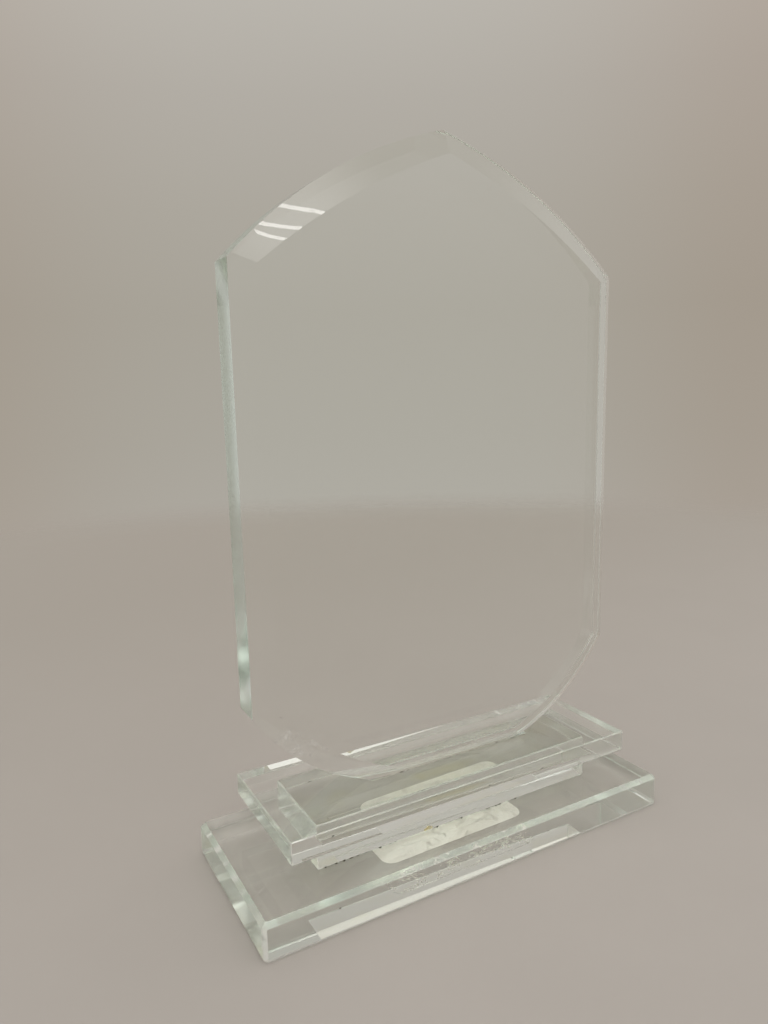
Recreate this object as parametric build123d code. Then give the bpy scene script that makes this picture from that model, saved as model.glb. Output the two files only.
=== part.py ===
from build123d import *
import os

# Crystal award: an upright bevelled glass plate on a three-tier glass base.
# The four pieces of glass are joined by thin films of clear adhesive, and a
# paper label sits on the underside.
# Millimetres, +Z up.  The origin is the centre of the underside of the bottom
# slab.  The bevelled face of the plate looks along -Y, and +X is to the right
# of someone who faces it.

# Adhesive film, the same in all three joints
FILM = 0.1

# Bottom slab
BOTTOM_LENGTH = 133.0
BOTTOM_DEPTH = 51.7
BOTTOM_THICKNESS = 10.2
BOTTOM_TOP_CHAMFER = 1.25
BOTTOM_CORNER_CHAMFER = 1.0
BOTTOM_FOOT_ARRIS_HEIGHT = 0.8
BOTTOM_FOOT_ARRIS_DEPTH = 0.3

# Spacer between the two slabs
SPACER_LENGTH = 93.2
SPACER_DEPTH = 27.0
SPACER_THICKNESS = 8.8

# Upper slab, set a little forward on the spacer
UPPER_LENGTH = 112.8
UPPER_DEPTH = 39.7
UPPER_THICKNESS = 6.3
UPPER_CENTRE_X = -0.2
UPPER_CENTRE_Y = -0.95

# Fine ground edge on the spacer, the upper slab and the back of the plate
ARRIS = 0.25

# Upright plate
PLATE_THICKNESS = 12.2
PLATE_HALF_WIDTH = 60.6
PLATE_APEX_Z = 200.1
PLATE_SHOULDER_Z = 165.0
PLATE_CORNER_Z = 51.4
PLATE_TOP_RADIUS = 128.0
PLATE_LOWER_RADIUS = 62.0
PLATE_CENTRE_X = 1.8
PLATE_CENTRE_Y = -0.8

# Bevel round the front of the plate, ground at one angle to its face: its width
# at the sides, and how far its inner edge lies below the apex and the shoulders.
# The arcs of the inner edge are flatter than those of the plate, so the bevel is
# widest and deepest halfway along each.
BEVEL_ANGLE = 25.0
BEVEL_WIDTH = 6.2
BEVEL_APEX_DROP = 6.4
BEVEL_SHOULDER_DROP = 1.5
BEVEL_TOP_RADIUS = 190.0

# The plate's foot is ground flat across a blank that ran a little lower.
# The lower end of the blank and of its bevel are given as half-length and drop
# below the ground foot, and rise above it.
BLANK_FOOT_HALF = 21.0
BLANK_FOOT_DROP = 1.9
BEVEL_FOOT_HALF = 19.6
BEVEL_FOOT_RISE = 2.75
BEVEL_LOWER_RADIUS = 72.0

# The bevel's lower corner stands a little above the corner of the plate
BEVEL_CORNER_RISE = 1.6

# Paper label, let flush into the underside of the bottom slab
LABEL_LENGTH = 48.0
LABEL_WIDTH = 17.4
LABEL_THICKNESS = 0.1
LABEL_CORNER_RADIUS = 3.5
LABEL_CENTRE_X = -3.2
LABEL_CENTRE_Y = -7.0

# Heights that follow from the stack
SPACER_Z = BOTTOM_THICKNESS + FILM
UPPER_Z = SPACER_Z + SPACER_THICKNESS + FILM
UPPER_TOP_Z = UPPER_Z + UPPER_THICKNESS
FOOT_Z = UPPER_TOP_Z + FILM


def slab(length, depth, thickness, base_z, centre_x=0.0, centre_y=0.0):
    """Plain rectangular slab standing on base_z."""
    place = Pos(centre_x, centre_y, base_z)
    return place * Box(length, depth, thickness, align=(Align.CENTER, Align.CENTER, Align.MIN))


def ground_slab(length, depth, thickness, base_z, centre_x=0.0, centre_y=0.0):
    """Slab with a fine arris ground along every edge."""
    blank = slab(length, depth, thickness, base_z, centre_x, centre_y)
    return chamfer(blank.edges(), ARRIS)


def label_outline():
    """Rounded rectangle of the label, on the plane of the underside."""
    outline = RectangleRounded(LABEL_LENGTH, LABEL_WIDTH, LABEL_CORNER_RADIUS)
    return Pos(LABEL_CENTRE_X, LABEL_CENTRE_Y, 0) * outline


def underside_label():
    return extrude(label_outline(), LABEL_THICKNESS)


def bottom_slab():
    """Thick slab with chamfered top edges and corners, and a shallow seat for the label."""
    blank = slab(BOTTOM_LENGTH, BOTTOM_DEPTH, BOTTOM_THICKNESS, 0)
    blank = chamfer(blank.edges().filter_by(Axis.Z), BOTTOM_CORNER_CHAMFER)
    blank = chamfer(blank.faces().sort_by(Axis.Z)[-1].edges(), BOTTOM_TOP_CHAMFER)
    foot = blank.faces().sort_by(Axis.Z)[0]
    blank = chamfer(foot.edges(), BOTTOM_FOOT_ARRIS_DEPTH, BOTTOM_FOOT_ARRIS_HEIGHT, reference=foot)
    return blank - underside_label()


def spacer():
    return ground_slab(SPACER_LENGTH, SPACER_DEPTH, SPACER_THICKNESS, SPACER_Z)


def upper_slab():
    return ground_slab(UPPER_LENGTH, UPPER_DEPTH, UPPER_THICKNESS, UPPER_Z, UPPER_CENTRE_X, UPPER_CENTRE_Y)


def half_outline(apex, shoulder, corner, foot, top_radius, lower_radius):
    """Right half of a plate outline, from the apex down to the end of the foot."""
    top = RadiusArc(apex, shoulder, top_radius)
    side = Line(shoulder, corner)
    lower = RadiusArc(corner, foot, lower_radius)
    return [top, side, lower]


def plate_face(plane, half):
    """Closed face from a right half outline, its mirror image and a straight foot."""
    right = Curve() + half
    left = mirror(right, about=Plane.YZ)
    foot_end = half[-1] @ 1
    foot = Line(foot_end, (-foot_end.X, foot_end.Y))
    return plane * make_face(right + left + foot)


def upright_plate():
    """Plate with a bevel all round its front, ground flat at the foot."""
    apex = Vector(0, PLATE_APEX_Z)
    shoulder = Vector(PLATE_HALF_WIDTH, PLATE_SHOULDER_Z)
    corner = Vector(PLATE_HALF_WIDTH, PLATE_CORNER_Z)
    foot = Vector(BLANK_FOOT_HALF, FOOT_Z - BLANK_FOOT_DROP)
    outer = half_outline(apex, shoulder, corner, foot, PLATE_TOP_RADIUS, PLATE_LOWER_RADIUS)

    inner_half_width = PLATE_HALF_WIDTH - BEVEL_WIDTH
    inner_apex = Vector(0, PLATE_APEX_Z - BEVEL_APEX_DROP)
    inner_shoulder = Vector(inner_half_width, PLATE_SHOULDER_Z - BEVEL_SHOULDER_DROP)
    inner_corner = Vector(inner_half_width, PLATE_CORNER_Z + BEVEL_CORNER_RISE)
    inner_foot = Vector(BEVEL_FOOT_HALF, FOOT_Z + BEVEL_FOOT_RISE)
    inner_radii = (BEVEL_TOP_RADIUS, BEVEL_LOWER_RADIUS)
    inner = half_outline(inner_apex, inner_shoulder, inner_corner, inner_foot, *inner_radii)

    back_y = PLATE_CENTRE_Y + PLATE_THICKNESS / 2
    front_y = PLATE_CENTRE_Y - PLATE_THICKNESS / 2
    back = Plane((PLATE_CENTRE_X, back_y, 0), x_dir=(1, 0, 0), z_dir=(0, -1, 0))
    front = Plane((PLATE_CENTRE_X, front_y, 0), x_dir=(1, 0, 0), z_dir=(0, -1, 0))
    body = extrude(plate_face(back, outer), PLATE_THICKNESS)
    bevelled = extrude(plate_face(front, inner), -PLATE_THICKNESS, taper=BEVEL_ANGLE - 90)
    blank = body & bevelled
    ground_away = slab(BOTTOM_LENGTH, BOTTOM_DEPTH, FOOT_Z, 0)
    plate = blank - ground_away
    return chamfer(plate.faces().sort_by(Axis.Y)[-1].edges(), ARRIS)


def film_under(piece):
    """Adhesive film that fills the joint under a piece, to the edge of its lower face."""
    lower_face = piece.faces().sort_by(Axis.Z)[0]
    return extrude(lower_face, FILM, dir=(0, 0, -1))


def film_over(piece):
    """Adhesive film that fills the joint over a piece, to the edge of its upper face."""
    upper_face = piece.faces().sort_by(Axis.Z)[-1]
    return extrude(upper_face, FILM, dir=(0, 0, 1))


plate = upright_plate()
spacer_slab = spacer()
nodes = {
    "upright_plate": plate,
    "upper_slab": upper_slab(),
    "spacer_slab": spacer_slab,
    "bottom_slab": bottom_slab(),
    "adhesive_plate_to_upper": film_under(plate),
    "adhesive_upper_to_spacer": film_over(spacer_slab),
    "adhesive_spacer_to_bottom": film_under(spacer_slab),
    "underside_label": underside_label(),
}

os.makedirs("parts", exist_ok=True)
for name, shape in nodes.items():
    export_step(shape, "parts/" + name + ".step")
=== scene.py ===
import math
import random

import bmesh
import bpy
from mathutils import Matrix, Vector, noise


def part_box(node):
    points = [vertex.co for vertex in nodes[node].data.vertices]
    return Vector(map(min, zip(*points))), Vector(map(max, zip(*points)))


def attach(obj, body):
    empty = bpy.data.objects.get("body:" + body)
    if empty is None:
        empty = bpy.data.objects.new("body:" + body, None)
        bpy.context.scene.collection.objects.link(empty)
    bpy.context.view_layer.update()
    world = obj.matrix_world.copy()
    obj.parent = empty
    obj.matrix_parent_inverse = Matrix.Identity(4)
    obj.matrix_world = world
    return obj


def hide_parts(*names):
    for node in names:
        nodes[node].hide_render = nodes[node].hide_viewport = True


# A crystal award of bonded float glass.  The four pieces of glass are the CAD
# nodes with a glass material.  The adhesive films are redrawn here with uneven,
# stained edges and the label as paper, and the grime in the joints and a drop
# of squeezed-out adhesive are added.  Metres, in the frame of the CAD model:
# +Z up, the front of the award looks along -Y.

MM = 0.001

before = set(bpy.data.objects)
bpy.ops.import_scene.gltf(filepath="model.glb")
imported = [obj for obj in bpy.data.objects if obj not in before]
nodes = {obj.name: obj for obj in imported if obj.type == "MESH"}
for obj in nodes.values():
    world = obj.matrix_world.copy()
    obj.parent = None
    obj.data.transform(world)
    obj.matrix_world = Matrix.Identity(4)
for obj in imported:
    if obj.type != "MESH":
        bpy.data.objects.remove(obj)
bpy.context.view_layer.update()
scene = bpy.context.scene

FILMS = ("adhesive_plate_to_upper", "adhesive_upper_to_spacer", "adhesive_spacer_to_bottom")
film_box = {name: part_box(name) for name in FILMS}
label_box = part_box("underside_label")
plate_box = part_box("upright_plate")
spacer_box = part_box("spacer_slab")

# Clear float glass, which absorbs the most red and the least green
GLASS_IOR = 1.52
GLASS_DENSITY = 2.1
GLASS_COLOUR = (0.18, 0.48, 0.34, 1)
GLASS_BASE = (0.99, 0.993, 0.983, 1)
# Faint smears on every face
SMEAR_SIZE = 14 * MM
SMEAR_ROUGHNESS = 0.02
# Ground chamfers and arrises, and the ends of the slabs as a share of that
SATIN_ROUGHNESS = 0.16
SATIN_WHITENESS = 0.24
END_SATIN = 0.55
# The plate's left edge, its back arris, and the faint white patches on its left bevel, which lie in a
# box measured from the plate's lower left front corner and start just behind its front face
PLATE_EDGE_WHITENESS = 0.04
ARRIS_ROUGHNESS = 0.6
BEVEL_PATCH_WHITENESS = 0.25
BEVEL_PATCH_FROM = Vector((5, 0.01, 12)) * MM
BEVEL_PATCH_SIZE = Vector((17, 5, 14)) * MM
# A face is square to an axis when its normal has more than this along it
SQUARE = 0.97
# Least and most that the normals of the plate's edge and back arris point backwards
PLATE_EDGE_FACING = (-0.8, 0.9)
# The same for the back arris alone: the middle and how far off it still counts
ARRIS_FACING = math.sqrt(0.5)
ARRIS_SPREAD = 0.1
# The broken strokes where the label's gum touches: lines in a noise, kept in patches of another
STROKE_SIZE = 3.6 * MM
STROKE_HALF_WIDTH = 0.045
PATCH_SIZE = 9 * MM
PATCH_ABOVE = 0.47

# A film and the label keep this far from the glass, so that no two faces coincide
CLEARANCE = 0.01 * MM
# How far past a film's box the glass still counts as bonded
BOND_REACH = Vector((0, 0, 2 * CLEARANCE))

# The adhesive under the spacer stops short of its front edge: right of GAP_LEFT the film ends at
# GAP_FRONT, and from GAP_TURN on its edge slopes forwards, towards the front edge of the spacer
GAP_FILM = FILMS[2]
GAP_LEFT = -40.3 * MM
GAP_FRONT = -6.3 * MM
GAP_TURN = -28 * MM
GAP_SLOPE = 0.1


# ------------------------------------------------------------ node helpers

def new_material(name):
    """An empty node material with its output node."""
    material = bpy.data.materials.new(name)
    material.use_nodes = True
    tree = material.node_tree
    tree.nodes.clear()
    return material, tree, tree.nodes.new("ShaderNodeOutputMaterial")


def link(tree, value, socket):
    """Join a socket to an input, or set the input to a plain value."""
    if isinstance(value, bpy.types.NodeSocket):
        tree.links.new(value, socket)
    else:
        socket.default_value = value


def add(tree, kind, **values):
    """A node with inputs given by name; _ stands for a space."""
    node = tree.nodes.new("ShaderNode" + kind)
    for key, value in values.items():
        link(tree, value, node.inputs[key.replace("_", " ")])
    return node


def maths(tree, operation, *values):
    """One Math node."""
    node = tree.nodes.new("ShaderNodeMath")
    node.operation = operation
    for socket, value in zip(node.inputs, values):
        link(tree, value, socket)
    return node.outputs[0]


def hypot(tree, across, along):
    """The length of a vector with two parts."""
    squares = maths(tree, "MULTIPLY_ADD", across, across, maths(tree, "MULTIPLY", along, along))
    return maths(tree, "SQRT", squares)


def ramp(tree, value, stops, smooth=True):
    """A colour ramp; each stop is (position, colour)."""
    node = tree.nodes.new("ShaderNodeValToRGB")
    node.color_ramp.interpolation = "EASE" if smooth else "LINEAR"
    elements = node.color_ramp.elements
    while len(elements) < len(stops):
        elements.new(0.5)
    for element, (position, colour) in zip(elements, stops):
        element.position = position
        element.color = (*colour, 1)
    link(tree, value, node.inputs[0])
    return node.outputs[0]


def mapped(tree, value, low, high, to_low, to_high):
    """Map a range of values smoothly onto another, held at both ends."""
    node = tree.nodes.new("ShaderNodeMapRange")
    node.interpolation_type = "SMOOTHSTEP"
    for socket, number in zip(node.inputs, (value, low, high, to_low, to_high)):
        link(tree, number, socket)
    return node.outputs[0]


def mix_shader(tree, share, first, second):
    """first where share is 0, second where it is 1."""
    node = tree.nodes.new("ShaderNodeMixShader")
    for socket, value in zip(node.inputs, (share, first, second)):
        link(tree, value, socket)
    return node.outputs[0]


def xyz(tree, vector):
    """The three parts of a vector."""
    split = tree.nodes.new("ShaderNodeSeparateXYZ")
    tree.links.new(vector, split.inputs[0])
    return split.outputs


def place(tree):
    """The geometry of a surface point, and the three parts of its position in metres."""
    geometry = tree.nodes.new("ShaderNodeNewGeometry")
    return geometry, xyz(tree, geometry.outputs["Position"])


def grain(tree, geometry, size, detail=3.0, distortion=0.0):
    """Noise whose features are about the given size, from 0 to 1."""
    node = add(tree, "TexNoise", Scale=1 / size, Detail=detail, Distortion=distortion)
    tree.links.new(geometry.outputs["Position"], node.inputs["Vector"])
    return node.outputs[0]


def inside(tree, parts, low, high):
    """1 for a point inside a box and 0 elsewhere."""
    result = 1.0
    for axis in range(3):
        offset = maths(tree, "SUBTRACT", parts[axis], (low[axis] + high[axis]) / 2)
        near = maths(tree, "LESS_THAN", maths(tree, "ABSOLUTE", offset), (high[axis] - low[axis]) / 2)
        result = maths(tree, "MULTIPLY", near, result)
    return result


# --------------------------------------------------------------- materials

def unfilled(tree, parts):
    """1 in front of the front edge of the adhesive under the spacer, and 0 behind it."""
    past = maths(tree, "MAXIMUM", maths(tree, "SUBTRACT", parts[0], GAP_TURN), 0.0)
    front = maths(tree, "SUBTRACT", GAP_FRONT, maths(tree, "MULTIPLY", past, GAP_SLOPE))
    beside = maths(tree, "GREATER_THAN", parts[0], GAP_LEFT)
    return maths(tree, "MULTIPLY", maths(tree, "LESS_THAN", parts[1], front), beside)


def ground_edge(tree, geometry):
    """1 on the chamfers and fine arrises, whose faces slope, less on the two ends, and 0 elsewhere."""
    normal = xyz(tree, geometry.outputs["True Normal"])
    across, along, upward = (maths(tree, "ABSOLUTE", part) for part in normal)
    steepest = maths(tree, "MAXIMUM", maths(tree, "MAXIMUM", across, along), upward)
    sloping = maths(tree, "LESS_THAN", steepest, SQUARE)
    end = maths(tree, "GREATER_THAN", across, SQUARE)
    return maths(tree, "MULTIPLY_ADD", end, END_SATIN, sloping)


def plate_edge(tree, geometry):
    """1 on the edge and back arris of the left half of the plate, and 0 elsewhere."""
    normal = xyz(tree, geometry.outputs["True Normal"])
    forwards, backwards = PLATE_EDGE_FACING
    off_middle = maths(tree, "ABSOLUTE", maths(tree, "SUBTRACT", normal[1], (forwards + backwards) / 2))
    edge = maths(tree, "LESS_THAN", off_middle, (backwards - forwards) / 2)
    left = maths(tree, "LESS_THAN", xyz(tree, geometry.outputs["Position"])[0], 0.0)
    return maths(tree, "MULTIPLY", edge, left)


def back_arris(tree, geometry):
    """1 on the ground arris round the back of the plate, which slopes at 45 degrees, and 0 elsewhere."""
    normal = xyz(tree, geometry.outputs["True Normal"])
    off = maths(tree, "SUBTRACT", maths(tree, "ABSOLUTE", normal[1]), ARRIS_FACING)
    return maths(tree, "LESS_THAN", maths(tree, "ABSOLUTE", off), ARRIS_SPREAD)


def label_contact(tree, geometry, parts):
    """1 in the broken strokes where the label's gum really touches the glass."""
    low, high = label_box
    strokes = grain(tree, geometry, STROKE_SIZE, 0.5, 0.8)
    off_stroke = maths(tree, "ABSOLUTE", maths(tree, "SUBTRACT", strokes, 0.5))
    thin = maths(tree, "LESS_THAN", off_stroke, STROKE_HALF_WIDTH)
    patches = maths(tree, "GREATER_THAN", grain(tree, geometry, PATCH_SIZE, 1.0), PATCH_ABOVE)
    touching = maths(tree, "MULTIPLY", thin, patches)
    return maths(tree, "MULTIPLY", touching, inside(tree, parts, low - BOND_REACH, high + BOND_REACH))


def bevel_patches(tree, geometry, parts):
    """Faint white patches low on the left bevel of the plate, from 0 to 1."""
    spots = mapped(tree, grain(tree, geometry, 3.2 * MM, 4.0, 1.0), 0.52, 0.68, 0.0, 1.0)
    corner = plate_box[0] + BEVEL_PATCH_FROM
    return maths(tree, "MULTIPLY", spots, inside(tree, parts, corner, corner + BEVEL_PATCH_SIZE))


def bond(tree, geometry, parts, films, label):
    """1 where a film or the label's gum joins the glass to its neighbour, and 0 elsewhere."""
    bonded = 0.0
    for film in films:
        low, high = film_box[film]
        joined = inside(tree, parts, low - BOND_REACH, high + BOND_REACH)
        if film == GAP_FILM:
            joined = maths(tree, "MULTIPLY", joined, maths(tree, "SUBTRACT", 1.0, unfilled(tree, parts)))
        bonded = maths(tree, "MAXIMUM", joined, bonded)
    if label:
        bonded = maths(tree, "MAXIMUM", label_contact(tree, geometry, parts), bonded)
    return bonded


def glass(name, films, satin, whiteness, plate=False, label=False):
    """Clear polished glass with satin arrises and faint smears.

    Light goes straight on where the glass is bonded, because the adhesive
    bends light as much as the glass does.
    """
    material, tree, out = new_material(name)
    geometry, parts = place(tree)
    smears = mapped(tree, grain(tree, geometry, SMEAR_SIZE, 5.0, 0.6), 0.55, 0.75, 0.0, SMEAR_ROUGHNESS)
    ground = satin(tree, geometry)
    roughness = maths(tree, "MAXIMUM", maths(tree, "MULTIPLY", ground, SATIN_ROUGHNESS), smears)
    white = maths(tree, "MULTIPLY", ground, whiteness)
    if plate:
        # Faint white patches low on the left bevel of the plate
        white = maths(tree, "MULTIPLY_ADD", bevel_patches(tree, geometry, parts), BEVEL_PATCH_WHITENESS, white)
        rough_arris = maths(tree, "MULTIPLY", back_arris(tree, geometry), ARRIS_ROUGHNESS)
        roughness = maths(tree, "MAXIMUM", rough_arris, roughness)
    clarity = maths(tree, "SUBTRACT", 1.0, white)
    clear = add(tree, "BsdfPrincipled", Roughness=roughness, IOR=GLASS_IOR, Transmission_Weight=clarity)
    clear.inputs["Base Color"].default_value = GLASS_BASE
    through = add(tree, "BsdfTransparent")
    bonded = bond(tree, geometry, parts, films, label)
    surface = mix_shader(tree, bonded, clear.outputs[0], through.outputs[0])
    tint = add(tree, "VolumeAbsorption", Density=GLASS_DENSITY, Color=GLASS_COLOUR)
    tree.links.new(surface, out.inputs["Surface"])
    tree.links.new(tint.outputs[0], out.inputs["Volume"])
    return material


def adhesive(name, stains):
    """Clear cured film with yellow stains, and a milky edge.

    Each stain is (x, y, half-length, half-width, strength) in millimetres.
    """
    material, tree, out = new_material(name)
    geometry, parts = place(tree)
    clouds = grain(tree, geometry, 9 * MM, 3.0, 0.4)
    stained = mapped(tree, clouds, 0.45, 0.75, 0.0, 0.12)
    for x, y, length, width, strength in stains:
        along = maths(tree, "DIVIDE", maths(tree, "SUBTRACT", parts[0], x * MM), length * MM)
        across = maths(tree, "DIVIDE", maths(tree, "SUBTRACT", parts[1], y * MM), width * MM)
        off = maths(tree, "MULTIPLY_ADD", along, along, maths(tree, "MULTIPLY", across, across))
        ragged = maths(tree, "MULTIPLY_ADD", clouds, 1.6, off)
        spot = mapped(tree, ragged, 0.6, 1.9, strength, 0.0)
        stained = maths(tree, "MAXIMUM", stained, spot)
    tint = ramp(tree, stained, [(0.0, (0.996, 0.996, 0.994)), (1.0, (0.93, 0.91, 0.72))], smooth=False)
    through = add(tree, "BsdfTransparent", Color=tint)
    edge = add(tree, "BsdfPrincipled", Roughness=0.3, IOR=GLASS_IOR, Transmission_Weight=0.6)
    edge.inputs["Base Color"].default_value = (0.82, 0.81, 0.74, 1)
    upward = xyz(tree, geometry.outputs["True Normal"])[2]
    flat = maths(tree, "GREATER_THAN", maths(tree, "ABSOLUTE", upward), 0.5)
    tree.links.new(mix_shader(tree, flat, edge.outputs[0], through.outputs[0]), out.inputs["Surface"])
    return material


def label_paper():
    """Cream paper with fine fibres."""
    material, tree, out = new_material("label_cream_paper")
    geometry, _ = place(tree)
    fibres = grain(tree, geometry, 0.5 * MM, 6.0, 1.2)
    colour = ramp(tree, fibres, [(0.3, (0.72, 0.69, 0.65)), (0.7, (0.79, 0.76, 0.73))])
    paper = add(tree, "BsdfPrincipled", Base_Color=colour, Roughness=0.75)
    bump = add(tree, "Bump", Strength=0.25, Distance=0.02 * MM, Height=fibres)
    tree.links.new(bump.outputs[0], paper.inputs["Normal"])
    tree.links.new(paper.outputs[0], out.inputs["Surface"])
    return material


def grime_material():
    """Dark brown specks of polishing dirt caught in the joints."""
    material, tree, out = new_material("joint_grime_brown")
    geometry, _ = place(tree)
    tone = grain(tree, geometry, 0.3 * MM)
    colour = ramp(tree, tone, [(0.3, (0.02, 0.015, 0.01)), (0.7, (0.07, 0.05, 0.03))])
    dirt = add(tree, "BsdfPrincipled", Base_Color=colour, Roughness=0.85)
    tree.links.new(dirt.outputs[0], out.inputs["Surface"])
    return material


def dress(node, material):
    """Give a CAD node a material."""
    nodes[node].data.materials.clear()
    nodes[node].data.materials.append(material)


dress("upright_plate", glass("plate_clear_glass", FILMS[:1], plate_edge, PLATE_EDGE_WHITENESS, plate=True))
dress("upper_slab", glass("upper_clear_glass", FILMS[:2], ground_edge, SATIN_WHITENESS))
dress("spacer_slab", glass("spacer_clear_glass", FILMS[1:], ground_edge, SATIN_WHITENESS))
dress("bottom_slab", glass("bottom_clear_glass", FILMS[2:], ground_edge, SATIN_WHITENESS, label=True))


# ------------------------------------------------------------------ pieces

def new_piece(name, mesh, material, slot, *replaced):
    """A visible piece that rides with the award."""
    mesh.materials.append(material)
    piece = bpy.data.objects.new(name, mesh)
    scene.collection.objects.link(piece)
    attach(piece, "root")
    if replaced:
        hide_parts(*replaced)


def sheet_mesh(name, outline, base, top):
    """A closed flat sheet between two heights."""
    shape = bmesh.new()
    lower = [shape.verts.new((x, y, base)) for x, y in outline]
    upper = [shape.verts.new((x, y, top)) for x, y in outline]
    shape.faces.new(list(reversed(lower)))
    shape.faces.new(upper)
    for i in range(len(outline)):
        j = (i + 1) % len(outline)
        shape.faces.new((lower[i], lower[j], upper[j], upper[i]))
    mesh = bpy.data.meshes.new(name)
    shape.to_mesh(mesh)
    shape.free()
    return mesh


CORNER_STEPS = 8


def rounded_outline(low, high, inset, radius, step, ragged=0.0, seed=0.0):
    """Points round a rectangle with round corners, each drawn in by a ragged amount."""
    left, front = low[0] + inset, low[1] + inset
    right, back = high[0] - inset, high[1] - inset
    centres = ((right - radius, back - radius), (left + radius, back - radius),
               (left + radius, front + radius), (right - radius, front + radius))
    corners = []
    for quarter, (cx, cy) in enumerate(centres):
        for k in range(CORNER_STEPS + 1):
            angle = math.radians(90 * (quarter + k / CORNER_STEPS))
            corners.append(Vector((cx + radius * math.cos(angle), cy + radius * math.sin(angle))))
    points = []
    middle = Vector(((left + right) / 2, (front + back) / 2))
    for start, end in zip(corners, corners[1:] + corners[:1]):
        count = max(1, round((end - start).length / step))
        for k in range(count):
            point = start.lerp(end, k / count)
            drawn_in = ragged * (0.5 + noise.noise(Vector((point.x, point.y, seed * MM)) / (3 * MM)))
            reach = (point - middle).length
            points.append(middle + (point - middle) * (1 - max(0.0, drawn_in) / reach))
    return points


def drawn_back(points):
    """The outline of a film with its front edge drawn back to where the adhesive ends."""
    drawn = []
    for point in points:
        front = GAP_FRONT - GAP_SLOPE * max(0.0, point.x - GAP_TURN)
        drawn.append(Vector((point.x, max(point.y, front))) if point.x > GAP_LEFT else point)
    return drawn


# How far the films and the label stay inside the outlines of their CAD solids
SHEET_INSET = 0.05 * MM
FILM_CORNER = 0.4 * MM
FILM_RAGGED = 0.3 * MM
LABEL_CORNER = 3.5 * MM
# Where each film has yellowed: (x, y, half-length, half-width, strength) in millimetres
STAINS = (
    ((8, -3, 12, 3, 0.2),),
    ((-4, -7, 17, 3.5, 0.4), (20, 6, 15, 5, 0.2)),
    ((2, -11.5, 16, 2, 0.4), (-40, -10, 8, 4, 0.25)),
)
for seed, (film, stain) in enumerate(zip(FILMS, STAINS)):
    low, high = film_box[film]
    outline = rounded_outline(low, high, SHEET_INSET, FILM_CORNER, 0.8 * MM, FILM_RAGGED, seed)
    if film == GAP_FILM:
        outline = drawn_back(outline)
    mesh = sheet_mesh(film, outline, low.z + CLEARANCE, high.z - CLEARANCE)
    new_piece(film + "_film", mesh, adhesive(film + "_cured", stain), "adhesive", film)

low, high = label_box
outline = rounded_outline(low, high, SHEET_INSET, LABEL_CORNER, 0.5 * MM)
mesh = sheet_mesh("label", outline, low.z, high.z - CLEARANCE)
new_piece("label_sheet", mesh, label_paper(), "label", "underside_label")


def speck(shape, centre, size, chance):
    """One irregular lump of dirt."""
    made = bmesh.ops.create_icosphere(shape, subdivisions=2, radius=size)["verts"]
    stretch = Vector((chance.uniform(0.9, 1.8), chance.uniform(0.7, 1.1), chance.uniform(0.6, 1.0)))
    offset = Vector((chance.random(), chance.random(), chance.random())) * 10
    for vert in made:
        rough = 1 + 0.5 * noise.noise(vert.co / size + offset)
        vert.co = Vector(a * b for a, b in zip(vert.co * rough, stretch)) + centre


# The specks lie this far outside a film's edge, and this far above or below its middle
SPECK_OUT = 0.1 * MM
SPECK_RISE = 0.06 * MM
# Runs of specks beside the films: (film, side, start, end, number, size) in millimetres
SPECKS = (
    (FILMS[2], "front", -45, -18, 24, 0.17),
    (FILMS[2], "front", -12, 35, 24, 0.19),
    (FILMS[2], "back", -40, 40, 12, 0.17),
    (FILMS[1], "front", -30, 40, 10, 0.12),
    (FILMS[0], "front", -19, 21, 16, 0.14),
)


def grime():
    """Specks in the groove beside each film, in loose runs."""
    chance = random.Random(7)
    shape = bmesh.new()
    for film, side, start, end, number, size in SPECKS:
        low, high = film_box[film]
        edge = low.y - SPECK_OUT if side == "front" else high.y + SPECK_OUT
        rise = -SPECK_RISE if film == FILMS[1] else SPECK_RISE
        height = (low.z + high.z) / 2 + rise
        for _ in range(number):
            along = chance.uniform(start, end) * MM
            grow = chance.choice((0.5, 0.6, 0.8, 1.0, 1.5))
            speck(shape, Vector((along, edge, height)), size * grow * MM, chance)
    mesh = bpy.data.meshes.new("joint_grime")
    shape.to_mesh(mesh)
    shape.free()
    new_piece("joint_grime", mesh, grime_material(), "adhesive")


grime()


def bead_material():
    """Yellow-brown adhesive that was squeezed out and set in a drop."""
    material, tree, out = new_material("adhesive_bead_amber")
    geometry, _ = place(tree)
    clouds = grain(tree, geometry, 1.5 * MM)
    colour = ramp(tree, clouds, [(0.3, (0.82, 0.74, 0.45)), (0.7, (0.92, 0.88, 0.66))])
    drop = add(tree, "BsdfPrincipled", Base_Color=colour, Roughness=0.35, IOR=GLASS_IOR)
    drop.inputs["Transmission Weight"].default_value = 0.6
    tree.links.new(drop.outputs[0], out.inputs["Surface"])
    return material


# The lumps of the drop: (x, height above the bottom slab, radius) in millimetres
BEAD_LUMPS = ((-12.3, 0.9, 0.6), (-11.4, 0.7, 0.47), (-13.25, 0.6, 0.42))
# How much each lump is stretched along the joint and flattened against the spacer, and how
# much of its radius its middle stands out from the spacer's front
BEAD_STRETCH = 1.2
BEAD_FLATTEN = 0.3
BEAD_OUT = 0.35


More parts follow.
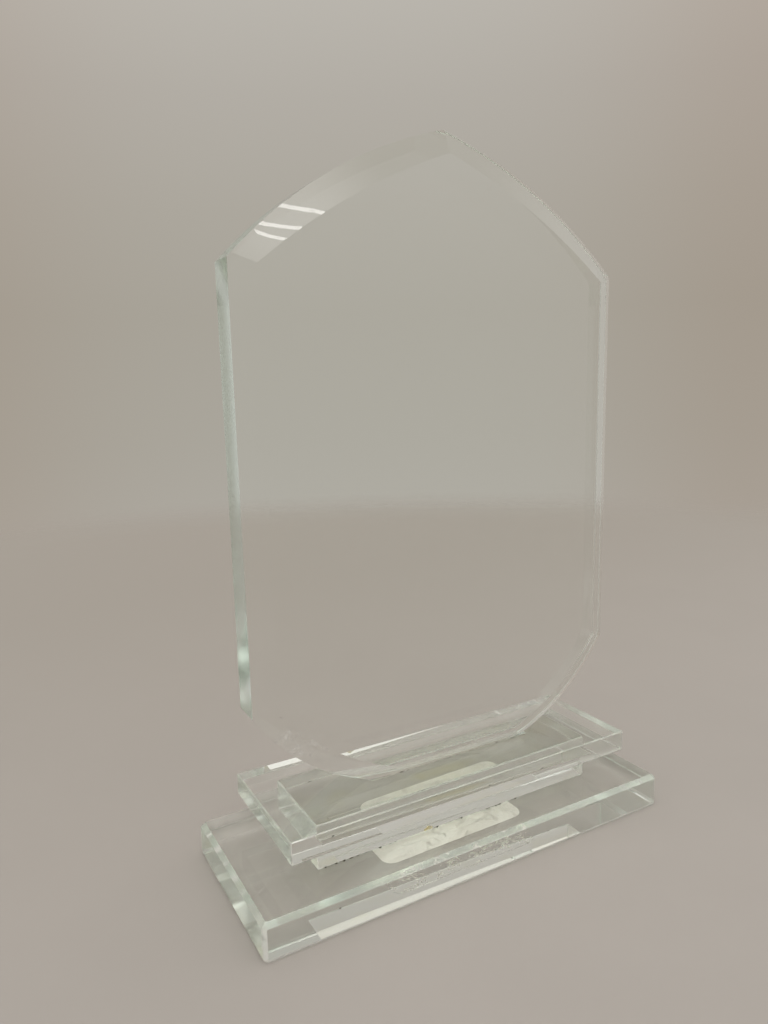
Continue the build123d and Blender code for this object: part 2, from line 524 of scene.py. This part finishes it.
def bead():
    """One flattened drop of adhesive in the corner between the spacer and the bottom slab."""
    low = spacer_box[0]
    chance = random.Random(3)
    shape = bmesh.new()
    for along, up, radius in BEAD_LUMPS:
        size = radius * MM
        made = bmesh.ops.create_icosphere(shape, subdivisions=3, radius=size)["verts"]
        offset = Vector((chance.random(), chance.random(), chance.random())) * 10
        middle = Vector((along * MM, low.y - BEAD_OUT * size, low.z + up * MM))
        for vert in made:
            lump = vert.co * (1 + 0.25 * noise.noise(vert.co / size + offset))
            vert.co = Vector((lump.x * BEAD_STRETCH, lump.y * BEAD_FLATTEN, lump.z)) + middle
    mesh = bpy.data.meshes.new("adhesive_bead")
    shape.to_mesh(mesh)
    shape.free()
    for face in mesh.polygons:
        face.use_smooth = True
    new_piece("adhesive_bead", mesh, bead_material(), "adhesive")


bead()


# ------------------------------------------------------------------ studio

FLOOR_GAP = 0.1 * MM
FLOOR_FADE_FROM = 0.52
FLOOR_FADE_TO = 0.74
# Colour of the near part of the floor, between two close greys, and of the part behind the award, which is
# painted darker as painted shade
FLOOR_NEAR = ((0.378, 0.353, 0.336), (0.388, 0.362, 0.345))
FLOOR_AWAY_SHADE = (0.338, 0.314, 0.289, 1)


def floor():
    """A round table top, painted darker towards the back as painted shade, whose far edge fades softly
    into the backdrop.
    """
    shape = bmesh.new()
    bmesh.ops.create_circle(shape, cap_ends=True, segments=96, radius=FLOOR_FADE_TO)
    mesh = bpy.data.meshes.new("floor")
    shape.to_mesh(mesh)
    shape.free()
    material, tree, out = new_material("floor_paper")
    geometry, parts = place(tree)
    distance = hypot(tree, parts[0], parts[1])
    mottle = grain(tree, geometry, 60 * MM, 4.0)
    near = ramp(tree, mottle, list(zip((0.3, 0.7), FLOOR_NEAR)))
    # Painted shade: the floor goes from the near colour to a darker colour behind the award
    shade_away = mapped(tree, parts[1], -100 * MM, 350 * MM, 0.0, 1.0)
    colour = add(tree, "MixRGB", Fac=shade_away, Color1=near, Color2=FLOOR_AWAY_SHADE).outputs[0]
    paper = add(tree, "BsdfPrincipled", Base_Color=colour, Roughness=0.9)
    through = add(tree, "BsdfTransparent")
    fade = mapped(tree, distance, FLOOR_FADE_FROM, FLOOR_FADE_TO, 0.0, 1.0)
    tree.links.new(mix_shader(tree, fade, paper.outputs[0], through.outputs[0]), out.inputs["Surface"])
    mesh.materials.append(material)
    piece = bpy.data.objects.new("floor", mesh)
    piece.location.z = -FLOOR_GAP
    scene.collection.objects.link(piece)


floor()

# Light by height, behind the award and in front: (degrees above the horizon, colour)
BACK_LIGHT = (
    (-90, (0.40, 0.37, 0.335)),
    (-9, (0.413, 0.39, 0.345)),
    (-4, (0.40, 0.378, 0.33)),
    (5, (0.392, 0.368, 0.318)),
    (12, (0.413, 0.388, 0.34)),
    (19, (0.445, 0.418, 0.375)),
    (25, (0.49, 0.465, 0.42)),
    (34, (0.52, 0.495, 0.45)),
    (41, (0.44, 0.42, 0.38)),
    (49, (0.56, 0.54, 0.50)),
    (62, (1.45, 1.40, 1.31)),
    (90, (2.2, 2.13, 2.0)),
)
FRONT_LIGHT = (
    (-90, (0.40, 0.37, 0.335)),
    (-14, (0.55, 0.53, 0.50)),
    (-8, (0.72, 0.71, 0.68)),
    (3, (0.76, 0.75, 0.72)),
    (20, (0.86, 0.84, 0.80)),
    (30, (1.1, 1.06, 0.99)),
    (41, (0.81, 0.75, 0.69)),
    (48, (1.02, 0.98, 0.91)),
    (56, (0.98, 0.94, 0.88)),
    (66, (1.75, 1.70, 1.60)),
    (90, (2.2, 2.13, 2.0)),
)
# Middle of the backdrop, in degrees from +Y towards +X
BACKDROP_AZIMUTH = 27
# Middle of the dim part of the room, and the angles off it where the bright part begins and is full
DIM_AZIMUTH = 3
DIM_WITHIN = 52
DIM_BEYOND = 80
# Heights, in degrees, between which the falloff of the backdrop fades out
EVEN_FROM = 25
EVEN_ABOVE = 50
# Falloff of the backdrop to either side of its middle: (cosine of the angle off it, factor)
FALLOFF = (
    (0.3, (0.98, 0.95, 0.93)),
    (0.88, (0.94, 0.88, 0.85)),
    (1.0, (1.0, 1.0, 1.0)),
)
# A ceiling lamp in front: three tubes along X and the glow round them.  Each place
# is a horizontal run over the height of the ceiling.  Each tube has the run in
# front of the award and how much it grows along X.
TUBES = ((0.7615, 0.06), (0.8104, 0.03), (0.856, 0.23))
TUBE_HALF_WIDTH = 0.005
TUBE_ENDS = (-0.118, 0.16)
TUBE_LIGHT = 7.0
TUBE_COLOUR = (1, 0.99, 0.97, 1)
GLOW_LIGHT = 1.9
GLOW_MIDDLE = (-0.02, 0.80)
GLOW_FROM = 0.05
GLOW_TO = 0.34


def height_colour(tree, height, stops):
    """The light of the room at a height, which goes from 0 straight down to 1 overhead."""
    return ramp(tree, height, [((degrees + 90) / 180, colour) for degrees, colour in stops], smooth=False)


def facing(tree, x, y, level, degrees):
    """The cosine of the angle between a direction and an azimuth, seen from above."""
    azimuth = math.radians(degrees)
    along = maths(tree, "MULTIPLY", y, math.cos(azimuth))
    return maths(tree, "DIVIDE", maths(tree, "MULTIPLY_ADD", x, math.sin(azimuth), along), level)


def room(tree, x, y, z):
    """Soft light from all round, brighter overhead and in front."""
    height = maths(tree, "DIVIDE", maths(tree, "ADD", maths(tree, "ARCSINE", z), math.pi / 2), math.pi)
    behind = height_colour(tree, height, BACK_LIGHT)
    before = height_colour(tree, height, FRONT_LIGHT)
    level_squared = maths(tree, "SUBTRACT", 1.0, maths(tree, "MULTIPLY", z, z))
    level = maths(tree, "SQRT", maths(tree, "MAXIMUM", level_squared, 1e-6))
    turn = maths(tree, "MULTIPLY_ADD", facing(tree, x, y, level, BACKDROP_AZIMUTH), 0.5, 0.5)
    falloff = ramp(tree, turn, [((cosine + 1) / 2, factor) for cosine, factor in FALLOFF])
    even_from, even_above = (math.sin(math.radians(degrees)) for degrees in (EVEN_FROM, EVEN_ABOVE))
    overhead = mapped(tree, z, even_from, even_above, 0.0, 1.0)
    even = add(tree, "MixRGB", Fac=overhead, Color1=falloff, Color2=(1, 1, 1, 1))
    back = add(tree, "MixRGB", Fac=1.0, Color1=behind, Color2=even.outputs[0])
    back.blend_type = "MULTIPLY"
    within, beyond = (math.cos(math.radians(degrees)) for degrees in (DIM_WITHIN, DIM_BEYOND))
    in_front = mapped(tree, facing(tree, x, y, level, DIM_AZIMUTH), within, beyond, 0.0, 1.0)
    return add(tree, "MixRGB", Fac=in_front, Color1=back.outputs[0], Color2=before).outputs[0]


def lamp(tree, x, y, z):
    """How strongly the tubes and the glow round them shine from a direction."""
    ceiling = maths(tree, "MAXIMUM", z, 0.001)
    across = maths(tree, "DIVIDE", x, ceiling)
    ahead = maths(tree, "DIVIDE", maths(tree, "MULTIPLY", y, -1.0), ceiling)
    lit = 0.0
    for tube, tilt in TUBES:
        middle = maths(tree, "MULTIPLY_ADD", across, tilt, tube)
        off = maths(tree, "ABSOLUTE", maths(tree, "SUBTRACT", ahead, middle))
        lit = maths(tree, "MAXIMUM", maths(tree, "LESS_THAN", off, TUBE_HALF_WIDTH), lit)
    past_left = maths(tree, "GREATER_THAN", across, TUBE_ENDS[0])
    before_right = maths(tree, "LESS_THAN", across, TUBE_ENDS[1])
    between = maths(tree, "MULTIPLY", past_left, before_right)
    lit = maths(tree, "MULTIPLY", maths(tree, "MULTIPLY", lit, between), TUBE_LIGHT)
    run = maths(tree, "SUBTRACT", across, GLOW_MIDDLE[0])
    rise = maths(tree, "SUBTRACT", ahead, GLOW_MIDDLE[1])
    reach = hypot(tree, run, rise)
    return maths(tree, "ADD", lit, mapped(tree, reach, GLOW_FROM, GLOW_TO, GLOW_LIGHT, 0.0))


def studio_light():
    """The soft room and its ceiling lamp, as the light of the world."""
    world = bpy.data.worlds.new("soft_studio")
    scene.world = world
    world.use_nodes = True
    tree = world.node_tree
    tree.nodes.clear()
    out = tree.nodes.new("ShaderNodeOutputWorld")
    direction = tree.nodes.new("ShaderNodeTexCoord")
    x, y, z = xyz(tree, direction.outputs["Generated"])
    soft = add(tree, "Background", Color=room(tree, x, y, z), Strength=1.0)
    tubes = add(tree, "Background", Color=TUBE_COLOUR, Strength=lamp(tree, x, y, z))
    both = tree.nodes.new("ShaderNodeAddShader")
    tree.links.new(soft.outputs[0], both.inputs[0])
    tree.links.new(tubes.outputs[0], both.inputs[1])
    tree.links.new(both.outputs[0], out.inputs["Surface"])


studio_light()


# ------------------------------------------------------------------ camera

CAMERA_PLACE = Vector((-118.35, -180.40, 135.59)) * MM
CAMERA_YAW = math.radians(29.43)
CAMERA_PITCH = math.radians(9.67)
CAMERA_ROLL = math.radians(-1.37)
CAMERA_LENS = 26.8


def camera():
    """A view from the front left at two thirds of the award's height, looking slightly down."""
    data = bpy.data.cameras.new("camera")
    data.lens = CAMERA_LENS
    data.clip_start = 5 * MM
    eye = bpy.data.objects.new("camera", data)
    scene.collection.objects.link(eye)
    level = math.cos(CAMERA_PITCH)
    forward = Vector((math.sin(CAMERA_YAW) * level, math.cos(CAMERA_YAW) * level, -math.sin(CAMERA_PITCH)))
    right = Vector((math.cos(CAMERA_YAW), -math.sin(CAMERA_YAW), 0))
    turn = Matrix((right, right.cross(forward), -forward)).transposed()
    roll = Matrix.Rotation(CAMERA_ROLL, 3, "Z")
    eye.matrix_world = Matrix.Translation(CAMERA_PLACE) @ (turn @ roll).to_4x4()
    scene.camera = eye


camera()

# Light has to cross many faces of glass before it leaves
BOUNCES = 48
scene.cycles.max_bounces = BOUNCES
scene.cycles.transmission_bounces = BOUNCES
scene.cycles.glossy_bounces = BOUNCES
scene.cycles.transparent_max_bounces = BOUNCES
scene.cycles.blur_glossy = 0.0
scene.view_settings.view_transform = "Standard"
